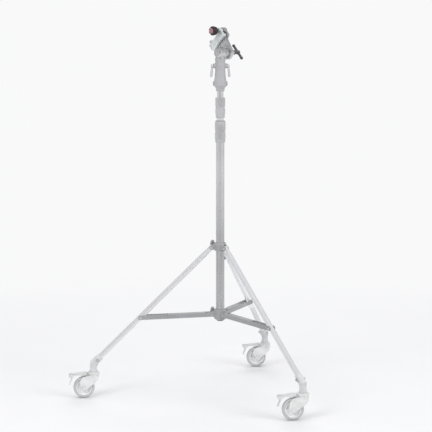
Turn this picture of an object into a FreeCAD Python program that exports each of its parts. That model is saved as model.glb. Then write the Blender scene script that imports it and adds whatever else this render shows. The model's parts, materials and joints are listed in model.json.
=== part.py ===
import FreeCAD, Part
import math
import os

# Rolling lighting stand: folding three-leg base on braked casters, two
# telescoping risers, receiver head with two locking handles and a tilting
# tube clamp.  Millimetres, +Z up, origin on the floor on the column axis.

Vector = FreeCAD.Vector
os.makedirs("parts", exist_ok=True)

# ------------------------------------------------------------ dimensions
# _R is an outer radius, _BORE an inner radius, _Z0 and _Z1 bottom and top heights,
# _AZ an angle about the column in degrees from +X.
X_AXIS = (1, 0, 0)
Y_AXIS = (0, 1, 0)
Z_AXIS = (0, 0, 1)

RUN = 0.06                # radial running clearance
PIN_R = 4.0               # pivot pins, rivets and foot bolts
LOCK_SCREW_R = 5.0        # screws of the hub knobs and riser levers

LEG_AZ = {"a": 180.0, "b": -60.0, "c": 60.0}
KNOB_AZ = 120.0           # hub locking knobs
LEVER_AZ = -98.0          # riser locking levers

COLUMN_R, COLUMN_BORE = 20.0, 18.0
COLUMN_Z0, COLUMN_Z1 = 364.0, 1250.0
RISER1_R, RISER1_BORE = 17.5, 15.5
RISER1_Z0, RISER1_Z1 = 400.0, 1364.0
RISER2_R, RISER2_BORE = 15.0, 12.8
RISER2_Z0, RISER2_Z1 = 428.0, 1498.0

COLLAR1_Z0, COLLAR1_Z1 = 1203.0, 1302.0
COLLAR2_Z0, COLLAR2_Z1 = 1318.0, 1413.0
COLLAR1_R, COLLAR2_R = 25.0, 23.0
LOCK1_Z, LOCK2_Z = 1278.0, 1389.0
BUSH_R = COLUMN_R         # guide bush, seated in the lower collar
COLLAR_BOSS = 8.4         # lever boss, proud of the collar
LEVER_GAP = 0.4           # boss face to lever hub
SCREW_TIP_GAP = 0.3       # knob or handle screw tip to what it bears on
RISER_TIP_GAP = 0.25      # riser lever screw tip to the riser

HUB_PIVOT_R = 42.0        # leg and brace pivots from the column axis
LEG_PIVOT_Z = 705.0
BRACE_PIVOT_Z = 385.0
LEG_KNOB_Z = 710.0
BRACE_KNOB_Z = BRACE_PIVOT_Z + 1

LEG_ANGLE = 46.03         # leg from the vertical, base open
LEG_PIVOT_TO_BRACE = 471.0
LEG_LENGTH = 782.2        # leg pivot to the middle of the foot socket
LEG_END = LEG_LENGTH - 2.0            # pivot to the end of the tube
LEG_TUBE_R, LEG_TUBE_BORE = 12.5, 10.5
EYE_T = 6.5               # half thickness of a leg's flattened end
EYE_R = 11.2
EAR_GAP = EYE_T + 0.1     # half gap between a pair of leg hub ears
EAR_T = 6.2

SLEEVE_R, SLEEVE_BORE = 15.6, 12.8    # levelling leg, upper sleeve
SLEEVE_LOW_R = 14.2                   # slimmer lower part of the sleeve
SLEEVE_STEP = 300.0                   # where the sleeve steps down
SLEEVE_END = 512.0
SLOT_START, SLOT_END = 90.0, 292.0    # slot for the levelling knob's stud
SLOT_R = 4.6
STUD_R = 4.0
STUD_DIST = 94.0          # leg pivot to the stud

FOOT_BOLT_DIST = LEG_LENGTH - 26.0    # leg pivot to the foot bolt
FOOT_PAD_HALF = 19.2      # half width across the foot bolt's pads
BOLT_HEX = 13.0           # across flats

BRACE_HALF_H = 21.0 / 2   # half height of the brace channel
BRACE_T = 3.0             # brace wall
BRACE_GAP = {"a": 13.3, "b": 13.3, "c": 15.0}   # half gap between a brace's walls

SWIVEL_R = 605.0          # caster swivel axis, distance from the column axis
WHEEL_R = 50.0
RIM_R = 37.0              # tyre seat
TYRE_HALF = 30.0 / 2      # half width of the tyre
TRAIL = 45.0              # axle behind the swivel axis
AXLE_R = 6.0
AXLE_HEX = 17.0           # across flats
STEM_R = 6.0              # stem under the cup
STEM_TOP_R = 6.5          # stem in the foot
CUP_R = 29.0              # swivel bearing cup
CUP_Z0, CUP_Z1 = 113.5, 124.0
CHEEK_GAP, CHEEK_T = 20.0, 2.6        # half gap between the fork cheeks, thickness
CHEEK_FACE = CHEEK_GAP + CHEEK_T
PEDAL_X, PEDAL_Z = 33, 108            # brake pedal pin
PEDAL_PIN_R = 3.0
PEDAL_EYE_R = 4.8

HEAD_Z0, HEAD_Z1 = 1442.0, 1592.0
SET_SCREW_Z = HEAD_Z0 + 36
HEAD_LEVER_Z = 1560.0
HEAD_BOSS_X = 33          # end face of a lever boss
HEAD_SCREW_R = 4.0
SPIGOT_R = 14.3           # 28.6 mm stand spigot

TILT_Z = 1621.0           # clamp tilt axis height
TILT_AXIS = Vector(0.81813, 0.57503, 0.0)
TUBE_AXIS = Vector(0.41536, -0.59096, 0.69155)  # direction of the held tube
HELD_TUBE_R = 12.5
HELD_TUBE_X, HELD_TUBE_Z = 46.0, 80.0           # held tube in the tilting frame
JAW_HALF = 52.0           # half length of the fixed jaw
MOVING_JAW_HALF = JAW_HALF + 3
SCREW_Z, SCREW_Y = 103.0, 38.0        # jaw screw at -SCREW_Y, guide pin at +SCREW_Y
JAW_SCREW_R = 5.0
GUIDE_R = 4.0
TILT_STEM_R = 6.0


# ------------------------------------------------------------ helpers
def cylinder(start, axis, radius, length):
    return Part.makeCylinder(radius, length, Vector(*start), Vector(*axis))


def cross_cylinder(x, z, radius, half):
    """Cylinder along Y, centred on y = 0."""
    return cylinder((x, -half, z), Y_AXIS, radius, 2 * half)


def cone(start, axis, radius0, radius1, length):
    return Part.makeCone(radius0, radius1, length, Vector(*start), Vector(*axis))


def ball(centre, radius):
    return Part.makeSphere(radius, Vector(*centre))


def box(x0, y0, z0, x1, y1, z1):
    return Part.makeBox(x1 - x0, y1 - y0, z1 - z0, Vector(x0, y0, z0))


def prism(points, extrusion):
    corners = [Vector(*p) for p in points]
    wire = Part.makePolygon(corners + [corners[0]])
    return Part.Face(wire).extrude(Vector(*extrusion))


def xz_prism(outline, y_start, width):
    """Prism along +Y from an outline of (x, z)."""
    return prism([(x, y_start, z) for x, z in outline], (0, width, 0))


def yz_prism(outline, x_start, width):
    """Prism along +X from an outline of (y, z)."""
    return prism([(x_start, y, z) for y, z in outline], (width, 0, 0))


def slab_start(gap, thickness, side):
    """Lowest y of a slab that lies `gap` from y = 0 on the given side."""
    return gap if side > 0 else -gap - thickness


def move_axis(shape, origin, axis):
    """Carry the shape's origin and Z axis to the given origin and axis, in place."""
    turning = FreeCAD.Rotation(Vector(0, 0, 1), Vector(*axis))
    shape.transformShape(FreeCAD.Placement(Vector(*origin), turning).toMatrix())
    return shape


def revolve(outline, origin=(0, 0, 0), axis=Z_AXIS):
    """Solid of revolution of the outline (radius, distance along the axis)."""
    corners = [Vector(radius, 0, z) for radius, z in outline]
    wire = Part.makePolygon(corners + [corners[0]])
    solid = Part.Face(wire).revolve(Vector(0, 0, 0), Vector(0, 0, 1), 360)
    solid = solid if solid.ShapeType == "Solid" else Part.Solid(solid)
    return move_axis(solid, origin, axis)


def fuse(first, *others):
    result = first
    for other in others:
        result = result.fuse(other)
    return result.removeSplitter()


def hexagon(start, axis, flats, height):
    """Hexagonal prism with chamfered corners, `flats` across flats."""
    radius = flats / math.sqrt(3)
    angles = [math.radians(60 * i) for i in range(7)]
    wire = Part.makePolygon([Vector(radius * math.cos(a), radius * math.sin(a), 0) for a in angles])
    solid = Part.Face(wire).extrude(Vector(0, 0, height))
    top_r = radius - flats * 0.06
    solid = solid.common(cone((0, 0, -0.001), Z_AXIS, top_r + height * 1.2, top_r,
                              height * 1.2 + 0.001))
    return move_axis(solid, start, axis)


def rounded(shape, radius, test):
    """Fillet the edges for which test(edge) is true."""
    edges = [e for e in shape.Edges if test(e)]
    for scale in (1.0, 0.6, 0.35):
        # The fillet may fail on tight edges: a smaller radius is tried, then none.
        try:
            fillet = shape.makeFillet(radius * scale, edges)
            if fillet.isValid() and fillet.Volume > 0:
                return fillet
        except Exception:
            pass
    return shape


def turn(shape, azimuth):
    """Copy turned about the Z axis."""
    shape = shape.copy()
    shape.rotate(Vector(0, 0, 0), Vector(0, 0, 1), azimuth)
    return shape


def raised(shape, z):
    shape.translate(Vector(0, 0, z))
    return shape


def group(shapes):
    return Part.makeCompound([solid for s in shapes for solid in s.Solids])


def save(name, shape):
    """Write one node; a lone solid is taken out of its compound."""
    solids = shape.Solids
    if len(solids) == 1:
        shape = solids[0]
    shape.exportStep("parts/%s.step" % name)


def tube(radius, bore, z0, z1):
    return cylinder((0, 0, z0), Z_AXIS, radius, z1 - z0).cut(
        cylinder((0, 0, z0 - 1), Z_AXIS, bore, z1 - z0 + 2))


def lock_bore(start, z, azimuth):
    """Radial clearance hole for a locking screw."""
    return turn(cylinder((start, 0, z), X_AXIS, LOCK_SCREW_R + RUN, 40), azimuth)


# ------------------------------------------------------------ knobs and levers
def wing_knob(tip, end, tall, wide, deep=13.0, grip=52.0, neck_start=36.6):
    """Knob on a radial screw along +X, from the screw's tip to the end of the wing."""
    screw = cylinder((tip + 1.2, 0, 0), X_AXIS, 5.0, grip - tip)
    point = cone((tip, 0, 0), X_AXIS, 3.8, 5.0, 1.2)
    neck = revolve([(0, neck_start), (9.5, neck_start), (10.5, neck_start + 2),
                    (10.5, neck_start + 6), (8.0, grip + 3), (0, grip + 3)], axis=X_AXIS)
    # oval wing, its long axis along Z, with a dished outer face
    ellipse = Part.Ellipse(Vector(0, 0, 0), tall / 2, wide / 2)
    wing = Part.Face(Part.Wire([ellipse.toShape()])).extrude(Vector(0, 0, deep))
    upright = FreeCAD.Rotation(Vector(0, 0, 1), Vector(0, -1, 0), Vector(1, 0, 0), "ZXY")
    wing.transformShape(FreeCAD.Placement(Vector(end - deep, 0, 0), upright).toMatrix())
    wing = rounded(wing, 5.0, lambda e: True)
    wing = wing.cut(ball((end + 34, 0, 0), 36.0))
    return fuse(screw, point, neck, wing)


def lever(tip, face, arm, up=False, screw_r=LOCK_SCREW_R, cant=7.0, stand=11.0, hub_r=9.5):
    """Locking lever on a screw along +X: screw from tip to face, hub beyond.

    The arm hangs down, or stands up, leaning outwards by `cant` degrees.
    """
    screw = cylinder((tip + 1.0, 0, 0), X_AXIS, screw_r, face - tip + 2)
    point = cone((tip, 0, 0), X_AXIS, screw_r - 1.2, screw_r, 1.0)
    hub = revolve([(0, face), (hub_r - 1, face), (hub_r, face + 1.2), (hub_r, face + stand - 2.5),
                   (hub_r - 2.5, face + stand), (0, face + stand)], axis=X_AXIS)
    lean = math.radians(cant)
    direction = (math.sin(lean), 0, (1.0 if up else -1.0) * math.cos(lean))
    root_x = face + stand * 0.5
    handle = cone((root_x, 0, 0), direction, 4.6, 6.4, arm)
    end = ball((root_x + direction[0] * arm, 0, direction[2] * arm), 6.43)
    return fuse(screw, point, hub, handle, end)


# ------------------------------------------------------------ column and risers
def column_end_plug():
    plug = revolve([(0, 352), (13, 352), (17, 354.5), (17, 358), (19.6, 359), (19.6, 363.9),
                    (17.95, 363.9), (17.95, 384), (15.8, 386), (0, 386)])
    return plug.cut(cylinder((0, 0, 366), Z_AXIS, 12.5, 30))


def column_guide_bush():
    """Bush in the top of the lower collar, around riser 1."""
    bore, bottom, seat = RISER1_R + RUN, COLUMN_Z1 + 0.2, COLLAR1_Z1
    bush = revolve([(bore, bottom), (BUSH_R, bottom), (BUSH_R, seat), (22.2, seat),
                    (22.2, seat + 2.2), (20.6, seat + 3.6), (bore + 1.0, seat + 3.6),
                    (bore, seat + 2.6)])
    return bush.cut(lock_bore(10, LOCK1_Z, LEVER_AZ))


def lock_collar(z0, z1, radius, low_bore, step_z, top_bore, lock_z):
    """Locking collar: lower half grips one tube, upper half guides the next."""
    height = z1 - z0
    body = revolve([(radius - 3.6, z0), (radius - 1.4, z0 + 2.2),
                    (radius - 1.4, z0 + height * 0.16), (radius, z0 + height * 0.2),
                    (radius, z0 + height * 0.44), (radius - 1.8, z0 + height * 0.48),
                    (radius - 1.8, z0 + height * 0.54), (radius, z0 + height * 0.58),
                    (radius, z1 - 3.0), (radius - 2.6, z1), (5, z1), (5, z0)])
    boss = revolve([(0, 8), (11.5, 8), (11.5, radius + 6), (9.6, radius + COLLAR_BOSS),
                    (0, radius + COLLAR_BOSS)], (0, 0, lock_z), X_AXIS)
    boss = turn(boss, LEVER_AZ)
    # rib opposite the boss carries the slit screws
    rib = turn(box(-radius - 5.5, -8.5, z0 + 6, -8, 8.5, z0 + height * 0.46), LEVER_AZ)
    rib = rounded(rib, 2.5, lambda e: True)
    collar = fuse(body, boss, rib)
    collar = collar.cut(cylinder((0, 0, z0 - 1), Z_AXIS, low_bore, step_z - z0 + 1))
    collar = collar.cut(cylinder((0, 0, step_z - 0.5), Z_AXIS, top_bore, z1 - step_z + 2))
    # slit in the gripping half
    collar = collar.cut(turn(box(-radius - 8, -1.0, z0 - 1, -8, 1.0, step_z - 4), LEVER_AZ))
    collar = collar.cut(lock_bore(8, lock_z, LEVER_AZ))
    # pinch screw holes across the slit
    for fraction in (0.15, 0.36):
        hole = cross_cylinder(-radius - 1.2, z0 + height * fraction, 2.0, 20)
        collar = collar.cut(turn(hole, LEVER_AZ))
    return collar


def collar_lever(riser_r, collar_r, z, arm, up=False):
    shape = lever(riser_r + RISER_TIP_GAP, collar_r + COLLAR_BOSS + LEVER_GAP, arm, up=up)
    return turn(raised(shape, z), LEVER_AZ)


save("column_tube", tube(COLUMN_R, COLUMN_BORE, COLUMN_Z0, COLUMN_Z1))
save("riser_1_tube", tube(RISER1_R, RISER1_BORE, RISER1_Z0, RISER1_Z1))
save("riser_2_tube", tube(RISER2_R, RISER2_BORE, RISER2_Z0, RISER2_Z1))
save("column_end_plug", column_end_plug())
save("column_guide_bush", column_guide_bush())
save("lower_lock_collar", lock_collar(COLLAR1_Z0, COLLAR1_Z1, COLLAR1_R, low_bore=COLUMN_R,
                                      step_z=COLUMN_Z1, top_bore=BUSH_R, lock_z=LOCK1_Z))
save("upper_lock_collar", lock_collar(COLLAR2_Z0, COLLAR2_Z1, COLLAR2_R, low_bore=RISER1_R,
                                      step_z=RISER1_Z1, top_bore=RISER2_R + RUN,
                                      lock_z=LOCK2_Z))
save("lower_lock_lever", collar_lever(RISER1_R, COLLAR1_R, LOCK1_Z, arm=52.0))
save("upper_lock_lever", collar_lever(RISER2_R, COLLAR2_R, LOCK2_Z, arm=46.0, up=True))

# ------------------------------------------------------------ hubs
PIN_HEAD = [(0, 0), (7, 0), (7, 1.2), (4.5, 3.0), (0, 3.0)]     # radius, height


def hub_knob_boss(z):
    boss = revolve([(0, 10), (11.5, 10), (11.5, 34), (9.5, 36), (0, 36)], (0, 0, z), X_AXIS)
    return turn(boss, KNOB_AZ)


def hub_knob(z):
    knob = wing_knob(COLUMN_R + SCREW_TIP_GAP, 66.0, tall=50.0, wide=24.0)
    return turn(raised(knob, z), KNOB_AZ)


def hub_pin(z, half):
    """Headed pin along Y through a pivot, `half` from its middle to each head."""
    return fuse(cross_cylinder(HUB_PIVOT_R, z, PIN_R, half),
                revolve(PIN_HEAD, (HUB_PIVOT_R, half, z), Y_AXIS),
                revolve(PIN_HEAD, (HUB_PIVOT_R, -half, z), (0, -1, 0)))


def brace_hub():
    """Hub fixed to the foot of the column, one lug to each brace."""
    z = BRACE_PIVOT_Z
    hub = revolve([(5, 360), (24.5, 360), (27, 362.5), (27, 407.5), (24.5, 410), (5, 410)])
    for leg, azimuth in LEG_AZ.items():
        half = BRACE_GAP[leg] - 0.3
        lug = fuse(box(10, -half, z - 11, HUB_PIVOT_R - 1, half, z + 9),
                   cross_cylinder(HUB_PIVOT_R, z, 8.0, half),
                   xz_prism([(HUB_PIVOT_R - 4, z - 6.93), (24, 362.5), (20, 362.5), (20, z)],
                            -half, 2 * half))
        lug = lug.cut(cross_cylinder(HUB_PIVOT_R, z, PIN_R, half + 1))
        hub = hub.fuse(turn(lug, azimuth))
    hub = hub.fuse(hub_knob_boss(BRACE_KNOB_Z))
    hub = hub.removeSplitter()
    hub = hub.cut(cylinder((0, 0, 350), Z_AXIS, COLUMN_R, 80))
    return hub.cut(lock_bore(10, BRACE_KNOB_Z, KNOB_AZ))


def leg_hub():
    """Hub that slides on the column, a pair of ears to each leg."""
    z = LEG_PIVOT_Z
    hub = revolve([(5, 690), (26, 690), (28.6, 692.5), (28.6, 722), (25.5, 728), (5, 728)])
    for azimuth in LEG_AZ.values():
        for side in (-1, 1):
            y0 = slab_start(EAR_GAP, EAR_T, side)
            ear = fuse(box(15, y0, z - 9, HUB_PIVOT_R - 0.5, y0 + EAR_T, z + 9),
                       cylinder((HUB_PIVOT_R, y0, z), Y_AXIS, 9.0, EAR_T),
                       xz_prism([(HUB_PIVOT_R + 2, z + 8.77), (24, 724), (15, 724), (15, z)],
                                y0, EAR_T))
            ear = ear.cut(cylinder((HUB_PIVOT_R, y0 - 1, z), Y_AXIS, PIN_R, 9))
            hub = hub.fuse(turn(ear, azimuth))
    hub = hub.fuse(hub_knob_boss(LEG_KNOB_Z))
    hub = hub.removeSplitter()
    hub = hub.cut(cylinder((0, 0, 680), Z_AXIS, COLUMN_R + 0.08, 60))
    return hub.cut(lock_bore(10, LEG_KNOB_Z, KNOB_AZ))


save("brace_hub", brace_hub())
save("brace_hub_pins", group([turn(hub_pin(BRACE_PIVOT_Z, BRACE_GAP[leg] + BRACE_T + 0.2), azimuth)
                              for leg, azimuth in LEG_AZ.items()]))
save("brace_hub_knob", hub_knob(BRACE_KNOB_Z))
save("leg_hub", leg_hub())
save("leg_hub_pins", group([turn(hub_pin(LEG_PIVOT_Z, EAR_GAP + EAR_T), azimuth)
                            for azimuth in LEG_AZ.values()]))
save("leg_hub_knob", hub_knob(LEG_KNOB_Z))


# ------------------------------------------------------------ legs
# Leg frame: pivot at the origin along Y, leg along -Z, upper side towards +X.
def to_leg(shape, azimuth):
    """Copy moved from the leg frame to its place in the open base."""
    shape = shape.copy()
    shape.rotate(Vector(0, 0, 0), Vector(0, 1, 0), -LEG_ANGLE)
    shape.translate(Vector(HUB_PIVOT_R, 0, LEG_PIVOT_Z))
    return turn(shape, azimuth)


def eyed_tube(radius, bore, round_at, end, low_radius=None, step=None):
    """Tube with a flattened eye; it is fully round from `round_at` on."""
    # neck of revolution, pressed between two flats that ramp out to the round tube
    neck = revolve([(0, 0), (EYE_R, 0), (EYE_R, -20), (radius, -round_at + 8),
                    (radius, -round_at), (0, -round_at)])
    for side in (-1, 1):
        neck = neck.cut(yz_prism([(side * EYE_T, 20), (side * EYE_T, -21),
                                  (side * (radius + 0.6), -round_at + 2),
                                  (side * 40, -round_at + 2), (side * 40, 20)], -40, 80))
    eye = cross_cylinder(0, 0, EYE_R, EYE_T)
    if low_radius:
        rest = revolve([(0, -round_at), (radius, -round_at), (radius, -step + 4),
                        (low_radius, -step), (low_radius, -end), (0, -end)])
    else:
        rest = cylinder((0, 0, -end), Z_AXIS, radius, end - round_at)
    solid = fuse(neck, eye, rest)
    solid = solid.cut(cylinder((0, 0, -end - 1), Z_AXIS, bore, end - round_at - 4))
    return solid.cut(cross_cylinder(0, 0, PIN_R + RUN, EYE_T + 1))


def leg_tube():
    shape = eyed_tube(LEG_TUBE_R, LEG_TUBE_BORE, 60.0, LEG_END)
    return shape.cut(cross_cylinder(0, -FOOT_BOLT_DIST, PIN_R, 20))


def levelling_sleeve():
    """Upper sleeve of leg c, slotted along its +Y side."""
    sleeve = eyed_tube(SLEEVE_R, SLEEVE_BORE, 66.0, SLEEVE_END, SLEEVE_LOW_R, SLEEVE_STEP)
    slot = fuse(box(-SLOT_R, 5, -SLOT_END, SLOT_R, 30, -SLOT_START),
                cylinder((0, 5, -SLOT_END), Y_AXIS, SLOT_R, 25),
                cylinder((0, 5, -SLOT_START), Y_AXIS, SLOT_R, 25))
    return sleeve.cut(slot)


def levelling_inner_tube():
    inner = cylinder((0, 0, -LEG_END), Z_AXIS, LEG_TUBE_R, LEG_END - 78.0)
    inner = inner.cut(cylinder((0, 0, -LEG_LENGTH), Z_AXIS, LEG_TUBE_BORE, LEG_LENGTH - 106.0))
    inner = inner.cut(cross_cylinder(0, -FOOT_BOLT_DIST, PIN_R, 20))
    return inner.cut(cylinder((0, 2, -STUD_DIST), Y_AXIS, STUD_R + RUN, 20))


def levelling_knob():
    """Stud through the slot, wing outside the sleeve."""
    knob = wing_knob(0, 46.0, tall=34.0, wide=18.0, deep=12.0, grip=33.0, neck_start=16.2)
    knob = knob.common(box(16.0, -40, -40, 90, 40, 40))
    knob = fuse(knob, cylinder((3.0, 0, 0), X_AXIS, STUD_R, 14.0))
    knob.rotate(Vector(0, 0, 0), Vector(0, 0, 1), 90)
    # counters the lean of the leg, so that the wing stands upright
    knob.rotate(Vector(0, 0, 0), Vector(0, 1, 0), LEG_ANGLE)
    return raised(knob, -STUD_DIST)


def leg_foot():
    """Foot in its open place along +X: sloping socket and upright caster boss."""
    end = -LEG_LENGTH
    socket = revolve([(0, end - 7), (13.5, end - 7), (17.5, end - 3), (17.5, end + 40),
                      (16.4, end + 44), (16.4, end + 47), (14.6, end + 49), (0, end + 49)])
    socket = socket.fuse(cross_cylinder(0, -FOOT_BOLT_DIST, 9.0, FOOT_PAD_HALF))
    socket = to_leg(socket, 0)
    boss = revolve([(0, CUP_Z1 + 0.2), (19, CUP_Z1 + 0.2), (19, CUP_Z1 + 5), (16.2, CUP_Z1 + 9),
                    (16.2, 160), (12, 164.5), (0, 164.5)], (SWIVEL_R, 0, 0))
    # web between the socket and the boss
    web = xz_prism([(SWIVEL_R - 8, 134), (SWIVEL_R - 33, 178), (SWIVEL_R - 20, 186),
                    (SWIVEL_R + 4, 160)], -5, 10)
    foot = fuse(socket, boss, web)
    foot = foot.cut(to_leg(cylinder((0, 0, end + 2), Z_AXIS, LEG_TUBE_R, 60), 0))
    foot = foot.cut(to_leg(cross_cylinder(0, -FOOT_BOLT_DIST, PIN_R, 30), 0))
    return foot.cut(cylinder((SWIVEL_R, 0, 100), Z_AXIS, STEM_TOP_R, 48))


def foot_bolt():
    """Bolt with its head towards +Y, and its nut, in the leg frame."""
    z = -FOOT_BOLT_DIST
    bolt = fuse(cylinder((0, -25.5, z), Y_AXIS, PIN_R, 45.0),
                hexagon((0, FOOT_PAD_HALF, z), Y_AXIS, BOLT_HEX, 5.3))
    nut = hexagon((0, -FOOT_PAD_HALF, z), (0, -1, 0), BOLT_HEX, 5.0)
    return group([bolt, nut.cut(cross_cylinder(0, z, PIN_R, 30))])


for leg in ("a", "b"):
    save("leg_%s_tube" % leg, to_leg(leg_tube(), LEG_AZ[leg]))
save("leg_c_sleeve", to_leg(levelling_sleeve(), LEG_AZ["c"]))
save("leg_c_inner_tube", to_leg(levelling_inner_tube(), LEG_AZ["c"]))
save("leg_c_knob", to_leg(levelling_knob(), LEG_AZ["c"]))
for leg, azimuth in LEG_AZ.items():
    save("leg_%s_foot" % leg, turn(leg_foot(), azimuth))
    save("leg_%s_foot_bolt" % leg, to_leg(foot_bolt(), azimuth))

# ------------------------------------------------------------ braces
# Brace frame: hub pivot at the origin, leg joint at BRACE_LENGTH along +X.
BRACE_RUN = LEG_PIVOT_TO_BRACE * math.sin(math.radians(LEG_ANGLE))
BRACE_RISE = (LEG_PIVOT_Z - LEG_PIVOT_TO_BRACE * math.cos(math.radians(LEG_ANGLE))
              - BRACE_PIVOT_Z)
BRACE_LENGTH = math.hypot(BRACE_RUN, BRACE_RISE)
BRACE_ANGLE = math.degrees(math.atan2(BRACE_RISE, BRACE_RUN))
RIVET_HEAD = [(0, 0), (7.5, 0), (7.5, 1.4), (5.0, 3.6), (0, 3.6)]   # radius, height


def brace(gap):
    """Two walls with rounded ends, joined by a top web near the hub."""
    face = gap + BRACE_T
    walls = []
    for side in (-1, 1):
        y0 = slab_start(gap, BRACE_T, side)
        wall = fuse(box(0, y0, -BRACE_HALF_H, BRACE_LENGTH, y0 + BRACE_T, BRACE_HALF_H),
                    cylinder((0, y0, 0), Y_AXIS, BRACE_HALF_H, BRACE_T),
                    cylinder((BRACE_LENGTH, y0, 0), Y_AXIS, BRACE_HALF_H, BRACE_T))
        for x, radius in ((0, PIN_R + RUN), (BRACE_LENGTH, PIN_R)):
            wall = wall.cut(cylinder((x, y0 - 1, 0), Y_AXIS, radius, BRACE_T + 2))
        walls.append(wall)
    top = box(30, -face, BRACE_HALF_H - BRACE_T, 205, face, BRACE_HALF_H)

    def top_corner(e):
        centre = e.CenterOfMass
        return (abs(abs(centre.y) - face) < 0.01 and abs(centre.z - BRACE_HALF_H) < 0.01
                and 40 < centre.x < 200 and e.BoundBox.XLength > 100)

    return rounded(fuse(walls[0], walls[1], top), 2.4, top_corner)


def brace_rivets(gap):
    rivets = []
    for side in (-1, 1):
        axis = (0, side, 0)
        rivets.append(fuse(
            cylinder((BRACE_LENGTH, side * (gap - 0.35), 0), axis, PIN_R, BRACE_T + 0.4),
            revolve(RIVET_HEAD, (BRACE_LENGTH, side * (gap + BRACE_T), 0), axis)))
    return group(rivets)


def to_brace(shape, azimuth):
    """Move from the brace frame to its place."""
    shape.rotate(Vector(0, 0, 0), Vector(0, 1, 0), -BRACE_ANGLE)
    shape.translate(Vector(HUB_PIVOT_R, 0, BRACE_PIVOT_Z))
    return turn(shape, azimuth)


for leg, azimuth in LEG_AZ.items():
    save("brace_%s" % leg, to_brace(brace(BRACE_GAP[leg]), azimuth))
    save("brace_%s_rivets" % leg, to_brace(brace_rivets(BRACE_GAP[leg]), azimuth))


# ------------------------------------------------------------ casters
# Caster frame: swivel axis on Z, floor at z = 0, wheel trailing towards +X.
def caster_stem():
    """Stem and swivel cup in one."""
    return revolve([(0, 97), (10, 97), (10, 100), (STEM_R, 102.8), (STEM_R, CUP_Z0 + 0.2),
                    (12, CUP_Z0 + 0.2), (12, CUP_Z0), (CUP_R - 1.2, CUP_Z0),
                    (CUP_R, CUP_Z0 + 1.2), (CUP_R, CUP_Z0 + 6), (CUP_R - 5, CUP_Z1 - 0.6),
                    (21, CUP_Z1), (STEM_TOP_R, CUP_Z1), (STEM_TOP_R, 146), (5.2, 147.6),
                    (0, 147.6)])


def fork_cheek(side):
    y0 = slab_start(CHEEK_GAP, CHEEK_T, side)
    cheek = xz_prism([(-24, 107), (30, 107), (50, 101), (63, 86), (65, 72), (58, 50), (57.5, 45),
                      (33, 44), (14, 57), (-5, 70), (-23, 91)], y0, CHEEK_T)
    cheek = fuse(cheek, cylinder((TRAIL, y0, WHEEL_R), Y_AXIS, 13.0, CHEEK_T))

    def blunt_corner(e):
        bounds = e.BoundBox
        return (bounds.YLength > 2.5 and bounds.XLength < 0.01 and bounds.ZLength < 0.01
                and min(abs(e.CenterOfMass.x - x) for x in (50, 63, 65, 14, -5, -23)) < 0.5)

    cheek = rounded(cheek, 7.0, blunt_corner)
    return cheek.cut(cylinder((TRAIL, y0 - 1, WHEEL_R), Y_AXIS, AXLE_R, 5))


def caster_fork():
    bore = STEM_R + RUN
    crown = revolve([(bore, 103), (27, 103), (27, 107), (25.5, 108), (25.5, 112.2),
                     (24.5, 113.2), (bore, 113.2)])
    pedal_ears = []
    for side in (1, -1):
        y0 = slab_start(9.3, 3.0, side)
        pedal_ears.append(fuse(box(18, y0, 103, PEDAL_X, y0 + 3.0, 112.8),
                               cylinder((PEDAL_X, y0, PEDAL_Z), Y_AXIS, PEDAL_EYE_R, 3.0)))
    fork = fuse(crown, fork_cheek(-1), fork_cheek(1), *pedal_ears)
    fork = fork.cut(cross_cylinder(PEDAL_X, PEDAL_Z, PEDAL_PIN_R + RUN, 20))
    return fork.cut(cylinder((0, 0, 90), Z_AXIS, bore, 30))


def wheel_hub():
    """Wheel centre: rim, web and boss."""
    # one half of the section, boss bore to tyre seat: radius, distance from mid-plane
    half = [(AXLE_R + RUN, 17), (11.5, 17), (12.8, 15), (13.5, 5.5), (18, 3.2), (29, 3.2),
            (32, 6), (33, 12.4), (35.5, 13.2), (RIM_R, 12.2)]
    outline = [(radius, -y) for radius, y in half] + half[::-1]
    return revolve(outline, (TRAIL, 0, WHEEL_R), Y_AXIS)


def wheel_tyre():
    # one half of the section, seat to tread: radius, distance from mid-plane
    half = [(RIM_R, 12.2), (38.6, TYRE_HALF - 1.2), (41, TYRE_HALF), (44.5, TYRE_HALF - 0.5),
            (47.4, TYRE_HALF - 2.6), (49.2, TYRE_HALF - 6.0), (WHEEL_R, TYRE_HALF - 10.5)]
    outline = [(radius, -y) for radius, y in half] + half[::-1]
    return revolve(outline, (TRAIL, 0, WHEEL_R), Y_AXIS)


def caster_axle():
    """Bolt with its head towards +Y, nut, and a spacer on each side of the wheel."""
    bolt = fuse(cylinder((TRAIL, -29.5, WHEEL_R), Y_AXIS, AXLE_R, 52.4),
                hexagon((TRAIL, CHEEK_FACE, WHEEL_R), Y_AXIS, AXLE_HEX, 5.6))
    nut = hexagon((TRAIL, -CHEEK_FACE, WHEEL_R), (0, -1, 0), AXLE_HEX, 5.2)
    pieces = [bolt, nut.cut(cross_cylinder(TRAIL, WHEEL_R, AXLE_R, 40))]
    for side in (-1, 1):
        spacer = cylinder((TRAIL, side * 17.1, WHEEL_R), (0, side, 0), 9.0, 2.9)
        pieces.append(spacer.cut(cross_cylinder(TRAIL, WHEEL_R, AXLE_R, 30)))
    return group(pieces)


def tread_pad():
    """Thick pad at the pedal's end, with four grooves across its top."""
    pad = xz_prism([(94, 103.5), (96, 112.5), (99, 115.6), (113, 113.6), (116.5, 110),
                    (115.5, 101.5), (111, 98.2), (99, 99.8)], -17, 34)
    pad = rounded(pad, 1.6, lambda e: e.BoundBox.YLength > 30
                  or abs(abs(e.CenterOfMass.y) - 17) < 0.01)
    for i in range(4):
        x = 99.6 + 4.1 * i
        pad = pad.cut(box(x, -13, 114.9 - 0.143 * (x - 99), x + 1.5, 13, 120))
    return pad


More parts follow.
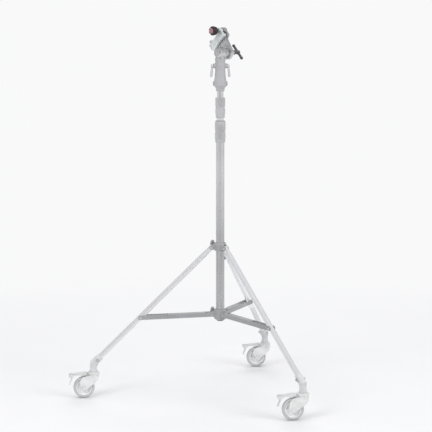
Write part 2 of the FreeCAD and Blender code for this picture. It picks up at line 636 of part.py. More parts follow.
def brake_pedal():
    """Folded channel on its pin, sloping down and away from the swivel axis."""
    eye = cross_cylinder(PEDAL_X, PEDAL_Z, PEDAL_EYE_R, 9)
    pin = cross_cylinder(PEDAL_X, PEDAL_Z, PEDAL_PIN_R, 13.4)
    channel = xz_prism([(28.6, 111), (31.6, 121), (34, 122.6), (99, 113.4), (99, 105.5),
                        (66, 108.5), (59, 103.6), (41, 103.6), (30, 104.4)], -9, 18)
    hollow = xz_prism([(40.5, 100), (40.5, 119.3), (97, 111.3), (97, 100)], -6.8, 13.6)
    shoe = rounded(box(41, -7.5, 103.5, 59, 7.5, 107), 0.8, lambda e: e.CenterOfMass.z < 104)
    top = xz_prism([(46, 119.2), (46, 121.4), (99, 113.9), (99, 111.6)], -13, 26)
    top = rounded(top, 5.0, lambda e: e.BoundBox.YLength < 0.01 and e.BoundBox.XLength < 0.01
                  and e.CenterOfMass.x < 50)
    pad = tread_pad()
    # release tab below the pad
    tab = xz_prism([(97.4, 101.5), (100.4, 101.5), (114.9, 64.6), (112.1, 63.4)], -12, 24)
    tab = rounded(tab, 6.0, lambda e: e.BoundBox.YLength < 0.01 and e.CenterOfMass.z < 66
                  and abs(abs(e.CenterOfMass.y) - 12) < 0.01)
    return fuse(channel.cut(hollow), shoe, eye, pin, top, pad, tab)


CASTER = {"stem": caster_stem(), "fork": caster_fork(), "hub": wheel_hub(),
          "tyre": wheel_tyre(), "axle": caster_axle(), "pedal": brake_pedal()}
for leg, azimuth in LEG_AZ.items():
    angle = math.radians(azimuth)
    swivel = Vector(SWIVEL_R * math.cos(angle), SWIVEL_R * math.sin(angle), 0)
    for name, shape in CASTER.items():
        # all three wheels trail towards -X
        shape = turn(shape, 180.0)
        shape.translate(swivel)
        save("caster_%s_%s" % (leg, name), shape)


# ------------------------------------------------------------ receiver head
def receiver_head():
    z0, z1 = HEAD_Z0, HEAD_Z1
    head = revolve([(8, z0), (17.8, z0), (19.2, z0 + 2), (20.5, z0 + 12), (27.6, z0 + 24),
                    (29.4, z0 + 32), (29.4, z0 + 46), (26.6, z0 + 62), (24.6, z0 + 84),
                    (23.2, z0 + 108), (23.2, z1 - 9), (25.0, z1 - 7), (25.0, z1 - 2),
                    (23.4, z1), (8, z1)])
    screw_bosses = revolve([(0, -34), (8.5, -34), (11.5, -31.5), (12.5, -20), (12.5, 20),
                            (11.5, 31.5), (8.5, 34), (0, 34)], (0, 0, SET_SCREW_Z), X_AXIS)
    lever_bosses = revolve([(0, -HEAD_BOSS_X), (9.5, -HEAD_BOSS_X), (11.5, -31), (11.5, 31),
                            (9.5, HEAD_BOSS_X), (0, HEAD_BOSS_X)], (0, 0, HEAD_LEVER_Z), X_AXIS)
    head = fuse(head, screw_bosses, lever_bosses)
    # riser socket, step and spigot bore, from the bottom up
    head = head.cut(cylinder((0, 0, z0 - 1), Z_AXIS, RISER2_R, RISER2_Z1 - z0 + 1))
    head = head.cut(cylinder((0, 0, RISER2_Z1 - 1), Z_AXIS, RISER2_BORE, 8))
    head = head.cut(cylinder((0, 0, 1502), Z_AXIS, SPIGOT_R + RUN, 100))
    head = head.cut(cylinder((-40, 0, HEAD_LEVER_Z), X_AXIS, HEAD_SCREW_R + RUN, 80))
    # blind holes of the set screws that hold the riser
    for side in (-1, 1):
        head = head.cut(cylinder((side * 40, 0, SET_SCREW_Z), (-side, 0, 0), 4.0, 14))
    return head


def receiver_lever(azimuth):
    shape = lever(SPIGOT_R + SCREW_TIP_GAP, HEAD_BOSS_X + LEVER_GAP, 46.0,
                  screw_r=HEAD_SCREW_R, cant=5.0, stand=10.0, hub_r=8.6)
    return turn(raised(shape, HEAD_LEVER_Z), azimuth)


save("receiver_head", receiver_head())
save("receiver_lever_left", receiver_lever(180.0))
save("receiver_lever_right", receiver_lever(0.0))

# ------------------------------------------------------------ tube clamp
# Both clamp frames have their origin on the tilt axis and X along it.  The base
# frame keeps Z up; the tilting frame has Z along the arm, from the tilt axis
# towards the held tube, and Y against the tube's direction.
TILT_AXIS.normalize()
TUBE_AXIS = TUBE_AXIS - TILT_AXIS * TILT_AXIS.dot(TUBE_AXIS)
TUBE_AXIS.normalize()
UP = Vector(0, 0, 1)


def frame(x, y, z):
    """Matrix of a frame on the tilt axis with the given axes."""
    return FreeCAD.Matrix(x.x, y.x, z.x, 0, x.y, y.y, z.y, 0, x.z, y.z, z.z, TILT_Z, 0, 0, 0, 1)


BASE_FRAME = frame(TILT_AXIS, UP.cross(TILT_AXIS), UP)
TILT_FRAME = frame(TILT_AXIS, TUBE_AXIS * -1.0, TUBE_AXIS.cross(TILT_AXIS))


def on_screw(x):
    return (x, -SCREW_Y, SCREW_Z)


def on_guide(x):
    return (x, SCREW_Y, SCREW_Z)


def clamp_base():
    """Spigot, flange and knuckle."""
    # radius, height above the floor
    spigot = [(0, 1504), (SPIGOT_R - 2, 1504), (SPIGOT_R, 1506.5), (SPIGOT_R, 1548),
              (SPIGOT_R - 1.6, 1550.5), (SPIGOT_R - 1.6, 1569.5), (SPIGOT_R, 1572),
              (SPIGOT_R, HEAD_Z1 + 0.3), (22.5, HEAD_Z1 + 0.3), (23.5, HEAD_Z1 + 1.3),
              (23.5, HEAD_Z1 + 4.5), (21.5, HEAD_Z1 + 7), (21.5, TILT_Z + 2), (0, TILT_Z + 2)]
    base = revolve([(radius, z - TILT_Z) for radius, z in spigot])
    knuckle = revolve([(0, -23), (17, -23), (24, -17), (25, -12), (25, 12), (24, 18),
                       (20.5, 22), (20.5, 39.7), (0, 39.7)], axis=X_AXIS)
    base = fuse(base, knuckle)
    return base.cut(cylinder((-12, 0, 0), X_AXIS, TILT_STEM_R + RUN, 60))


def held_tube():
    return cross_cylinder(HELD_TUBE_X, HELD_TUBE_Z, HELD_TUBE_R, 80)


def clamp_body():
    """Friction disc, recessed web plate, fixed jaw and the moving jaw's guide pin."""
    disc = revolve([(0, 40), (30, 40), (32.5, 42.5), (32.5, 53.5), (30, 56), (0, 56)],
                   axis=X_AXIS)
    plate = yz_prism([(-31, 0), (-40, 50), (-46, 65), (46, 65), (40, 50), (31, 0)], 41, 14)
    recess = yz_prism([(-20, 37), (-30, 57), (30, 57), (20, 37)], 39, 6)
    jaw = xz_prism([(50, 60), (50, 97), (53, 100), (64, 97), (70, 88), (70, 70), (62, 58),
                    (50, 50)], -JAW_HALF, 2 * JAW_HALF)
    jaw = rounded(jaw, 4.0, lambda e: e.BoundBox.YLength < 0.01
                  and abs(e.CenterOfMass.x - 50) > 2)
    screw_boss = cylinder(on_screw(50), X_AXIS, 16.0, 20)
    guide_boss = cylinder(on_guide(50), X_AXIS, 11.0, 18)
    stem_boss = revolve([(0, 55), (14, 55), (14, 78), (12.5, 80), (0, 80)], axis=X_AXIS)
    plate = plate.cut(recess).cut(box(30, -60, 54, 43.2, 60, 70))
    body = fuse(disc, plate, jaw, screw_boss, guide_boss, stem_boss)
    body = body.cut(held_tube())
    body = body.cut(cylinder((30, 0, 0), X_AXIS, TILT_STEM_R + RUN, 80))
    body = body.cut(cylinder(on_screw(45), X_AXIS, JAW_SCREW_R + RUN, 40))
    guide = fuse(cylinder(on_guide(26), X_AXIS, GUIDE_R, 30),
                 cone(on_guide(24.6), X_AXIS, 2.8, GUIDE_R, 1.4))
    return body.fuse(guide).removeSplitter()


def clamp_jaw():
    """Moving jaw: long plate over the tube, drawn in by the screw."""
    jaw = xz_prism([(42, 97), (42, 63), (38, 60), (28, 62), (23, 67), (23, 93), (28, 98),
                    (38, 99)], -MOVING_JAW_HALF, 2 * MOVING_JAW_HALF)
    jaw = rounded(jaw, 3.0, lambda e: e.BoundBox.YLength < 0.01 and e.CenterOfMass.x < 37)
    screw_boss = revolve([(0, 23), (12.5, 23), (14.5, 25), (14.5, 42), (0, 42)],
                         on_screw(0), X_AXIS)
    guide_boss = revolve([(0, 30), (8.5, 30), (9.5, 31), (9.5, 42), (0, 42)],
                         on_guide(0), X_AXIS)
    jaw = fuse(jaw, screw_boss, guide_boss)
    jaw = jaw.cut(held_tube())
    jaw = jaw.cut(cylinder(on_screw(0), X_AXIS, JAW_SCREW_R + 0.1, 60))
    return jaw.cut(cylinder(on_guide(0), X_AXIS, GUIDE_R + 0.1, 60))


def clamp_screw():
    return fuse(cylinder(on_screw(2), X_AXIS, JAW_SCREW_R, 65),
                cone(on_screw(67), X_AXIS, JAW_SCREW_R, 3.6, 1.6),
                cylinder(on_screw(19.8), X_AXIS, 8.5, 3.0))


def clamp_knob():
    """Knob with seven flutes, recessed for its cap."""
    knob = revolve([(0, 19.6), (10.5, 19.6), (11.5, 18.0), (11.5, 11), (19, 7.5), (21.5, 3.0),
                    (22.0, -2), (21.5, -12), (19.0, -16.5), (0, -18)], on_screw(0), X_AXIS)
    for i in range(7):
        angle = 2 * math.pi * i / 7
        start = (-30, -SCREW_Y + 27.5 * math.cos(angle), SCREW_Z + 27.5 * math.sin(angle))
        knob = knob.cut(cylinder(start, X_AXIS, 8.5, 39))
    knob = knob.cut(cylinder(on_screw(2), X_AXIS, JAW_SCREW_R, 40))
    return knob.cut(cylinder(on_screw(-20), X_AXIS, 13.0, 5.5))


def clamp_knob_cap():
    return revolve([(0, -14.5), (13.0, -14.5), (13.0, -18.4), (11.4, -20.2), (0, -20.8)],
                   on_screw(0), X_AXIS)


def clamp_tilt_handle():
    """Tilt lock: stem through the body into the knuckle, with a cross bar."""
    grip = revolve([(0, 80.3), (10.5, 80.3), (12, 82), (12, 88), (8, 93), (8, 104), (10, 108),
                    (10, 118), (7, 120), (0, 120)], axis=X_AXIS)
    return fuse(cylinder((-9, 0, 0), X_AXIS, TILT_STEM_R, 95), grip,
                cylinder((113, 0, -36), Z_AXIS, 6.0, 78),
                ball((113, 0, -36), 7.4), ball((113, 0, 42), 7.4))


for build, matrix in ((clamp_base, BASE_FRAME), (clamp_body, TILT_FRAME),
                      (clamp_jaw, TILT_FRAME), (clamp_screw, TILT_FRAME),
                      (clamp_knob, TILT_FRAME), (clamp_knob_cap, TILT_FRAME),
                      (clamp_tilt_handle, TILT_FRAME)):
    shape = build()
    shape.transformShape(matrix)
    save(build.__name__, shape)
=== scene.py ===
"""A three-legged caster stand: a column with risers, braces, hub knobs and a clamp.

Metres, +Z up, floor at z = 0. The column is upright; leg a points to -X, legs b and c
to the +X side (b towards -Y, c towards +Y). The camera looks from -Y. The wheel and
knob profiles are in millimetres.
"""
import json
import math
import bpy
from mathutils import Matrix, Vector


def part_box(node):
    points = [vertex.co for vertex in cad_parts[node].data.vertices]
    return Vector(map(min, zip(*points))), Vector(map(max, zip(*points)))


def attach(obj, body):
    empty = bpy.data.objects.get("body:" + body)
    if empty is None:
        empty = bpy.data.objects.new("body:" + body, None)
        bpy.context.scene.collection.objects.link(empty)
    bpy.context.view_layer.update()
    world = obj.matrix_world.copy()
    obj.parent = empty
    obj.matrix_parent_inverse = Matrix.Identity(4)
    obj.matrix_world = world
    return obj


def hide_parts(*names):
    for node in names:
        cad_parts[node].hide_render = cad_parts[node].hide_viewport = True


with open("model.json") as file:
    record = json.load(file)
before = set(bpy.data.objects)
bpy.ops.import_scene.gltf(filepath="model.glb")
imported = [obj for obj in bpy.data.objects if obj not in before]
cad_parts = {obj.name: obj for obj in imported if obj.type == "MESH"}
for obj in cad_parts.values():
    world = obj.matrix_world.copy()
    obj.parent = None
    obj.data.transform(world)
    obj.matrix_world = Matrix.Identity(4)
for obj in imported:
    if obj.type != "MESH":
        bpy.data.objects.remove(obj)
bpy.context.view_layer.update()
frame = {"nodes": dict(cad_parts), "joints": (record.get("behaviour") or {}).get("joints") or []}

from fnmatch import fnmatchcase
from functools import cached_property

import bmesh
import bpy
from mathutils import Vector

NODES = frame["nodes"]
JOINTS = {joint["name"]: joint for joint in frame["joints"]}

LEG_AZIMUTHS = {"a": 180.0, "b": -60.0, "c": 60.0}  # degrees from +X
LEG_ANGLE = math.radians(46.03)                     # between a leg and straight down


def unit(vector):
    return Vector(vector).normalized()


def leg_direction(azimuth):
    """Direction down a leg."""
    angle = math.radians(azimuth)
    outward = Vector((math.cos(angle), math.sin(angle), 0.0))
    return outward * math.sin(LEG_ANGLE) + Vector((0, 0, -math.cos(LEG_ANGLE)))


LEG_DIRECTIONS = {letter: leg_direction(az) for letter, az in LEG_AZIMUTHS.items()}


# ---------------------------------------------------------------- node helpers
def linear(value):
    """One 0-255 sRGB channel as a linear value."""
    value = value / 255.0
    return value / 12.92 if value <= 0.04045 else ((value + 0.055) / 1.055) ** 2.4


def rgb(red, green, blue):
    return (linear(red), linear(green), linear(blue), 1.0)


def grey(tone, blue=0):
    """Grey with its blue channel raised."""
    return rgb(tone, tone, tone + blue)


BACKDROP = rgb(249, 249, 250)


class Graph:
    """Short calls that build a shader node tree; inputs may be sockets or values."""

    def __init__(self, tree):
        self.tree = tree
        tree.nodes.clear()

    def add(self, kind, *inputs, **settings):
        """New node with its settings and its first inputs filled in."""
        node = self.tree.nodes.new(kind)
        for name, value in settings.items():
            setattr(node, name, value)
        for socket, value in zip(node.inputs, inputs):
            self.put(socket, value)
        return node

    def link(self, source, target):
        self.tree.links.new(source, target)

    def put(self, socket, value):
        if isinstance(value, bpy.types.NodeSocket):
            self.link(value, socket)
        else:
            socket.default_value = value

    def math(self, operation, first, second, clamp=False):
        node = self.add("ShaderNodeMath", first, second, operation=operation, use_clamp=clamp)
        return node.outputs[0]

    def mul(self, first, second, clamp=False):
        return self.math("MULTIPLY", first, second, clamp)

    def plus(self, first, second, clamp=False):
        return self.math("ADD", first, second, clamp)

    def minus(self, first, second):
        return self.math("SUBTRACT", first, second)

    def dot(self, first, second):
        node = self.add("ShaderNodeVectorMath", first, second, operation="DOT_PRODUCT")
        return node.outputs["Value"]

    def remap(self, value, span, to=(0.0, 1.0), curve="LINEAR"):
        """Carry the span (start, end) over to another, clamped."""
        return self.add("ShaderNodeMapRange", value, *span, *to,
                        interpolation_type=curve).outputs[0]

    def smooth(self, value, span, to=(0.0, 1.0)):
        return self.remap(value, span, to, curve="SMOOTHSTEP")


class Mat(Graph):
    """One procedural material around a Principled shader."""

    def __init__(self, name):
        self.material = bpy.data.materials.new(name)
        self.material.use_nodes = True
        super().__init__(self.material.node_tree)
        self.out = self.add("ShaderNodeOutputMaterial")
        self.shader = self.add("ShaderNodeBsdfPrincipled")
        self.link(self.shader.outputs[0], self.out.inputs[0])
        self.coords = self.add("ShaderNodeTexCoord").outputs["Object"]

    @cached_property
    def normal(self):
        return self.add("ShaderNodeNewGeometry").outputs["Normal"]

    def set(self, name, value):
        self.put(self.shader.inputs[name], value)

    def noise(self, scale, detail=3.0, rough=0.55, coords=None):
        node = self.add("ShaderNodeTexNoise", coords or self.coords)
        node.inputs["Scale"].default_value = scale
        node.inputs["Detail"].default_value = detail
        node.inputs["Roughness"].default_value = rough
        return node.outputs[0]

    def cells(self, scale, output="Distance"):
        node = self.add("ShaderNodeTexVoronoi", self.coords)
        node.inputs["Scale"].default_value = scale
        return node.outputs[output]

    def mix(self, factor, first, second):
        """Mix two colours."""
        node = self.add("ShaderNodeMix", factor, data_type="RGBA")
        self.put(node.inputs[6], first)
        self.put(node.inputs[7], second)
        return node.outputs[2]

    def mix_value(self, factor, first, second):
        node = self.add("ShaderNodeMix", factor, data_type="FLOAT")
        self.put(node.inputs[2], first)
        self.put(node.inputs[3], second)
        return node.outputs[0]

    def dust(self, scale, span, amount):
        """Patchy mask on the faces that look up."""
        up = self.math("MAXIMUM", self.dot(self.normal, (0.0, 0.0, 1.0)), 0.0)
        patches = self.remap(self.noise(scale, detail=4.0, rough=0.7), span)
        return self.mul(self.mul(up, patches), amount)

    def edge(self, radius, samples=6):
        """Rounded-edge normal and an edge mask."""
        bevel = self.add("ShaderNodeBevel", radius, samples=samples).outputs[0]
        return bevel, self.remap(self.dot(bevel, self.normal), (0.995, 0.86))

    def bump(self, height, strength, distance, normal=None):
        """Use a height as the surface relief."""
        node = self.add("ShaderNodeBump")
        node.inputs["Strength"].default_value = strength
        node.inputs["Distance"].default_value = distance
        self.link(height, node.inputs["Height"])
        if normal is not None:
            self.link(normal, node.inputs["Normal"])
        self.set("Normal", node.outputs[0])


# ---------------------------------------------------------------- materials
# Tones are 0-255 greys. In every material `broad` is the large mottling.
def tube_metal(name, tone, rough, dirt, direction=(0, 0, 1), metal=1.0, shade_below=None):
    """Plated steel tube: smudges, faint draw lines along it and a few rub marks.

    The last argument is painted shade, the colour darkening towards the bottom: height where it
    starts, height where it is full, its share.
    """
    mat = Mat(name)
    axis = unit(direction)
    side = axis.cross(Vector((0.31, 0.95, 0.1))).normalized()
    third = axis.cross(side).normalized()
    parts = [mat.dot(mat.coords, tuple(way)) for way in (side, third, axis)]
    coords = mat.add("ShaderNodeCombineXYZ", *parts).outputs[0]

    def streaks(across, along, detail, rough):
        """Noise with its own scale across and along the tube."""
        scaled = mat.add("ShaderNodeVectorMath", coords, (across, across, along),
                         operation="MULTIPLY")
        return mat.noise(1.0, detail, rough, scaled.outputs[0])

    lines = streaks(across=300, along=2.0, detail=1.0, rough=0.5)
    rub = streaks(across=120, along=3.2, detail=3.0, rough=0.65)
    smudge = mat.noise(11.0, detail=4.0, rough=0.6, coords=coords)
    broad = mat.noise(3.0, detail=2.0, rough=0.5, coords=coords)
    nicks = mat.remap(streaks(across=60, along=26.0, detail=5.0, rough=0.8), (0.69, 0.74))
    marks = mat.remap(rub, (0.6, 0.78))
    grime = mat.mul(mat.remap(smudge, (0.5, 0.75)), dirt)

    colour = mat.mix(mat.remap(broad, (0.35, 0.7)), grey(tone, blue=2), grey(tone - 9, blue=3))
    colour = mat.mix(mat.mul(marks, 0.22), colour, grey(tone - 55, blue=3))
    colour = mat.mix(mat.mul(nicks, 0.5), colour, rgb(tone - 75, tone - 76, tone - 78))
    colour = mat.mix(mat.mul(grime, 0.35), colour, rgb(168, 165, 160))
    # Painted shade: the colour darkens to grey 120 towards the bottom of the tube.
    if shade_below:
        start, full, share = shade_below
        height = mat.dot(mat.coords, (0.0, 0.0, 1.0))
        lower = mat.remap(height, (start, full), to=(0.0, share))
        colour = mat.mix(lower, colour, grey(120, blue=2))
    mat.set("Base Color", colour)
    mat.set("Metallic", mat.remap(grime, (0.0, 1.0), to=(metal, metal * 0.8)))
    gloss = mat.remap(smudge, (0.3, 0.75), to=(rough - 0.03, rough + 0.09))
    gloss = mat.plus(gloss, mat.mul(marks, 0.1))
    mat.set("Roughness", mat.plus(gloss, mat.mul(nicks, 0.2)))
    height = mat.plus(mat.mul(lines, 0.12), mat.mul(rub, 0.25))
    height = mat.minus(height, mat.mul(nicks, 0.5))
    mat.bump(height, strength=0.04, distance=0.0004)
    return mat.material


def cast_paint(name, tone, metal_tone, rough=0.42, blue=3, grain=1.0):
    """Painted casting: orange peel over a cast skin, chipped edges, settled dust."""
    wear = 0.8
    mat = Mat(name)
    normal, edges = mat.edge(radius=0.0016)
    broad = mat.noise(7.0, detail=3.0, rough=0.55)
    skin = mat.noise(420.0, detail=3.0, rough=0.6)
    peel = mat.cells(620.0)
    chips = mat.noise(170.0, detail=4.0, rough=0.75)
    spots = mat.remap(mat.noise(75.0, detail=5.0, rough=0.8), (0.70, 0.74))
    worn = mat.mul(edges, mat.remap(chips, (0.47, 0.6)), clamp=True)
    worn = mat.math("MAXIMUM", mat.mul(worn, wear), mat.mul(spots, 0.55 * wear))
    dust = mat.dust(scale=38.0, span=(0.38, 0.7), amount=0.28)

    colour = mat.mix(mat.remap(broad, (0.35, 0.68)), grey(tone, blue), grey(tone - 13, blue))
    colour = mat.mix(worn, colour, grey(metal_tone, blue=2))
    mat.set("Base Color", mat.mix(dust, colour, rgb(205, 200, 192)))
    mat.set("Metallic", mat.mul(worn, 0.9))
    gloss = mat.remap(broad, (0.3, 0.7), to=(rough - 0.06, rough + 0.08))
    gloss = mat.mix_value(worn, gloss, 0.28)
    mat.set("Roughness", mat.plus(gloss, mat.mul(dust, 0.8), clamp=True))
    mat.set("Coat Weight", 0.12)
    mat.set("Coat Roughness", 0.3)
    height = mat.plus(mat.mul(skin, 0.7), mat.mul(peel, 0.5))
    height = mat.minus(height, mat.mul(worn, 0.9))
    mat.bump(height, strength=0.22 * grain, distance=0.0006, normal=normal)
    return mat.material


def bare_cast(name, tone, tint=(0, 1, 1), rough=0.34, grime=0.5, metal=1.0):
    """Bare aluminium casting, tumbled: bright edges, darker dirt patches away from the edges."""
    mat = Mat(name)
    normal, edges = mat.edge(radius=0.0018)
    broad = mat.noise(16.0, detail=4.0, rough=0.6)
    skin = mat.noise(520.0, detail=4.0, rough=0.65)
    pits = mat.cells(760.0)
    dirt = mat.mul(mat.remap(mat.noise(60.0, detail=5.0, rough=0.75), (0.5, 0.72)), grime)
    dirt = mat.mul(dirt, mat.minus(1.0, edges))

    light = rgb(*(tone + shift for shift in tint))
    dark = rgb(tone - 34, tone - 33, tone - 31)
    colour = mat.mix(mat.remap(broad, (0.35, 0.72)), light, dark)
    colour = mat.mix(mat.mul(edges, 0.5), colour, rgb(238, 239, 240))
    mat.set("Base Color", mat.mix(dirt, colour, rgb(112, 110, 106)))
    mat.set("Metallic", mat.remap(dirt, (0.0, 1.0), to=(metal, metal * 0.6)))
    gloss = mat.remap(skin, (0.3, 0.7), to=(rough, rough + 0.14))
    mat.set("Roughness", mat.mix_value(edges, gloss, rough - 0.1))
    height = mat.plus(mat.mul(skin, 0.8), mat.mul(pits, 0.35))
    mat.bump(height, strength=0.2, distance=0.0005, normal=normal)
    return mat.material


def zinc(name, tone, rough, grain=1.0, metal=0.95):
    """Zinc-plated pressed steel: spangled reflections and faint passivation tint."""
    mat = Mat(name)
    normal, edges = mat.edge(radius=0.001, samples=4)
    spangle = mat.dot(mat.cells(140.0, output="Color"), (0.5, 0.3, 0.2))
    broad = mat.noise(20.0, detail=4.0, rough=0.6)
    fine = mat.noise(600.0, detail=3.0, rough=0.6)
    tint = mat.remap(mat.noise(45.0, detail=3.0, rough=0.6), (0.55, 0.75))

    light = rgb(tone, tone + 1, tone + 1)
    dark = rgb(tone - 20, tone - 19, tone - 22)
    colour = mat.mix(mat.remap(broad, (0.35, 0.7)), light, dark)
    colour = mat.mix(mat.mul(tint, 0.25), colour, rgb(196, 190, 168))
    mat.set("Base Color", mat.mix(mat.mul(edges, 0.4), colour, grey(236)))
    mat.set("Metallic", metal)
    gloss = mat.remap(spangle, (0.2, 0.8), to=(rough - 0.03, rough + 0.07))
    mat.set("Roughness", mat.plus(gloss, mat.remap(broad, (0.4, 0.8), to=(0.0, 0.1))))
    height = mat.plus(mat.mul(fine, 0.6), mat.mul(spangle, 0.3))
    mat.bump(height, strength=0.1 * grain, distance=0.0004, normal=normal)
    return mat.material


def plastic(name, light, dark, rough, grain, worn=None, scale=900.0, coat=0.0):
    """Moulded plastic: fine grain, handling shine, edges rubbed to the worn colour."""
    mat = Mat(name)
    normal, edges = mat.edge(radius=0.0012, samples=4)
    broad = mat.noise(30.0, detail=3.0, rough=0.6)
    fine = mat.noise(scale, detail=2.0, rough=0.6)
    cell = mat.cells(scale * 0.8)
    colour = mat.mix(mat.remap(broad, (0.35, 0.7)), light, dark)
    if worn:
        rubbed = mat.remap(mat.noise(220.0, detail=4.0, rough=0.7), (0.4, 0.65))
        colour = mat.mix(mat.mul(edges, rubbed), colour, worn)
    dust = mat.dust(scale=90.0, span=(0.45, 0.75), amount=0.12)
    mat.set("Base Color", mat.mix(dust, colour, rgb(190, 186, 180)))
    gloss = mat.remap(broad, (0.3, 0.7), to=(rough - 0.07, rough + 0.08))
    mat.set("Roughness", mat.plus(gloss, mat.mul(edges, -0.08)))
    mat.set("Coat Weight", coat)
    height = mat.plus(mat.mul(fine, 0.6), mat.mul(cell, 0.6))
    mat.bump(height, strength=grain, distance=0.0004, normal=normal)
    return mat.material


def rubber(name, tone):
    """Tyre rubber: matt, dusty tread with scuffs, cleaner side walls."""
    mat = Mat(name)
    tread = mat.add("ShaderNodeAttribute", attribute_name="tread").outputs["Fac"]
    broad = mat.noise(24.0, detail=4.0, rough=0.6)
    fine = mat.noise(700.0, detail=4.0, rough=0.7)
    grit = mat.noise(190.0, detail=5.0, rough=0.8)
    stains = mat.remap(mat.noise(60.0, detail=4.0, rough=0.75), (0.6, 0.75))
    scuff = mat.mul(tread, mat.remap(grit, (0.42, 0.66)))

    colour = mat.mix(mat.remap(broad, (0.35, 0.7)), grey(tone, blue=2), grey(tone - 16, blue=2))
    colour = mat.mix(mat.mul(scuff, 0.55), colour, rgb(176, 172, 165))
    mat.set("Base Color", mat.mix(mat.mul(stains, 0.35), colour, grey(tone - 45, blue=1)))
    mat.set("Roughness", mat.remap(scuff, (0.0, 1.0), to=(0.6, 0.88)))
    mat.bump(mat.plus(fine, mat.mul(grit, 0.8)), strength=0.3, distance=0.0005)
    return mat.material


MATERIALS = {
    # The column's colour carries painted shade, darker towards its bottom.
    "column": tube_metal("column_chrome", tone=220, rough=0.26, dirt=0.25,
                         shade_below=(1.08, 0.72, 0.42)),
    "riser": tube_metal("riser_chrome", tone=236, rough=0.2, dirt=0.15),
    "cast": cast_paint("grey_cast", tone=166, metal_tone=205),
    "collar": cast_paint("collar_cast", tone=188, metal_tone=216, rough=0.38),
    "foot": cast_paint("foot_cast", tone=214, metal_tone=230, rough=0.4),
    "head": cast_paint("head_cast", tone=178, metal_tone=216, rough=0.36),
    "brace": cast_paint("brace_paint", tone=160, metal_tone=200, rough=0.46, grain=0.8),
    "silver": bare_cast("silver_cast", tone=222),
    "jaw": bare_cast("jaw_cast", tone=244, tint=(-5, 2, 0), rough=0.44, grime=0.2, metal=0.75),
    "zinc": zinc("zinc_steel", tone=246, rough=0.4, metal=0.6),
    "pedal": zinc("pedal_zinc", tone=240, rough=0.42, metal=0.6),
    "bolt": zinc("bolt_steel", tone=206, rough=0.28, grain=0.6),
    "tyre": rubber("grey_rubber", tone=204),
    "centre": plastic("wheel_centre", rgb(246, 247, 247), rgb(238, 239, 240),
                      rough=0.46, grain=0.14, scale=500.0),
    "black": plastic("black_knob", grey(38, blue=2), grey(28, blue=2),
                     rough=0.4, grain=0.26, worn=grey(92, blue=2)),
    "hub_knob": plastic("grey_knob", grey(160, blue=2), grey(146, blue=3),
                        rough=0.42, grain=0.24, worn=grey(190, blue=2)),
    "red": plastic("red_cap", rgb(164, 116, 122), rgb(148, 100, 108), rough=0.34, grain=0.12,
                   worn=rgb(190, 152, 156), scale=600.0, coat=0.25),
    "nylon": plastic("grey_nylon", grey(150, blue=2), grey(138, blue=2),
                     rough=0.5, grain=0.12, scale=500.0),
    "dark": cast_paint("dark_lever", tone=84, metal_tone=150, rough=0.4, blue=5),
    "lock_lever": cast_paint("lock_lever", tone=172, metal_tone=205, rough=0.38, blue=2),
    "lever": cast_paint("silver_lever", tone=202, metal_tone=226, rough=0.34),
}
for letter, direction in LEG_DIRECTIONS.items():
    MATERIALS["leg_" + letter] = tube_metal(f"leg_{letter}_chrome", tone=232, rough=0.4,
                                            dirt=0.2, direction=direction, metal=0.6)
MATERIALS["leg_c_sleeve"] = tube_metal("leg_c_sleeve_chrome", tone=246, rough=0.42, dirt=0.15,
                                       direction=LEG_DIRECTIONS["c"], metal=0.4)

# Material, patterns of the node names that wear it; the first match counts.
NODE_MATERIALS = (
    ("column", "column_tube"),
    ("riser", "riser_1_tube riser_2_tube"),
    ("leg_a", "leg_a_tube"),
    ("leg_b", "leg_b_tube"),
    ("leg_c_sleeve", "leg_c_sleeve"),
    ("leg_c", "leg_c_inner_tube"),
    ("collar", "lower_lock_collar upper_lock_collar"),
    ("cast", "brace_hub leg_hub"),
    ("head", "receiver_head"),
    ("foot", "*_foot"),
    ("brace", "brace_a brace_b brace_c"),
    ("zinc", "*_axle"),
    ("bolt", "*_pins *_bolt *_rivets clamp_screw"),
    ("zinc", "*_fork *_stem"),
    ("pedal", "*_pedal"),
    ("tyre", "*_tyre"),
    ("centre", "caster*_hub"),
    ("nylon", "column_end_plug column_guide_bush"),
    ("hub_knob", "leg_hub_knob brace_hub_knob leg_c_knob"),
    ("black", "clamp_knob"),
    ("red", "clamp_knob_cap"),
    ("lock_lever", "lower_lock_lever upper_lock_lever"),
    ("dark", "clamp_tilt_handle"),
    ("silver", "clamp_base clamp_body"),
    ("jaw", "clamp_jaw"),
    ("lever", "receiver_lever*"),
)


def node_material(node):
    for key, patterns in NODE_MATERIALS:
        if any(fnmatchcase(node, pattern) for pattern in patterns.split()):
            return MATERIALS[key]
    raise SystemExit("no material for " + node)


for node, part in NODES.items():
    part.data.materials.clear()
    part.data.materials.append(node_material(node))
    for polygon in part.data.polygons:
        polygon.material_index = 0


# ---------------------------------------------------------------- mesh helpers
class Place:
    """Local frame in millimetres: x along the axis, y and z across it."""

    def __init__(self, origin, x, z):
        self.origin = Vector(origin)
        self.x = unit(x)
        self.y = unit(Vector(z).cross(self.x))
        self.z = self.x.cross(self.y)

    def __call__(self, x, y, z):
        return self.origin + (self.x * x + self.y * y + self.z * z) * 0.001


def add_object(name, bm, material):
    mesh = bpy.data.meshes.new(name)
    bm.to_mesh(mesh)
    bm.free()
    mesh.materials.append(material)
    made = bpy.data.objects.new(name, mesh)
    bpy.context.scene.collection.objects.link(made)
    return made


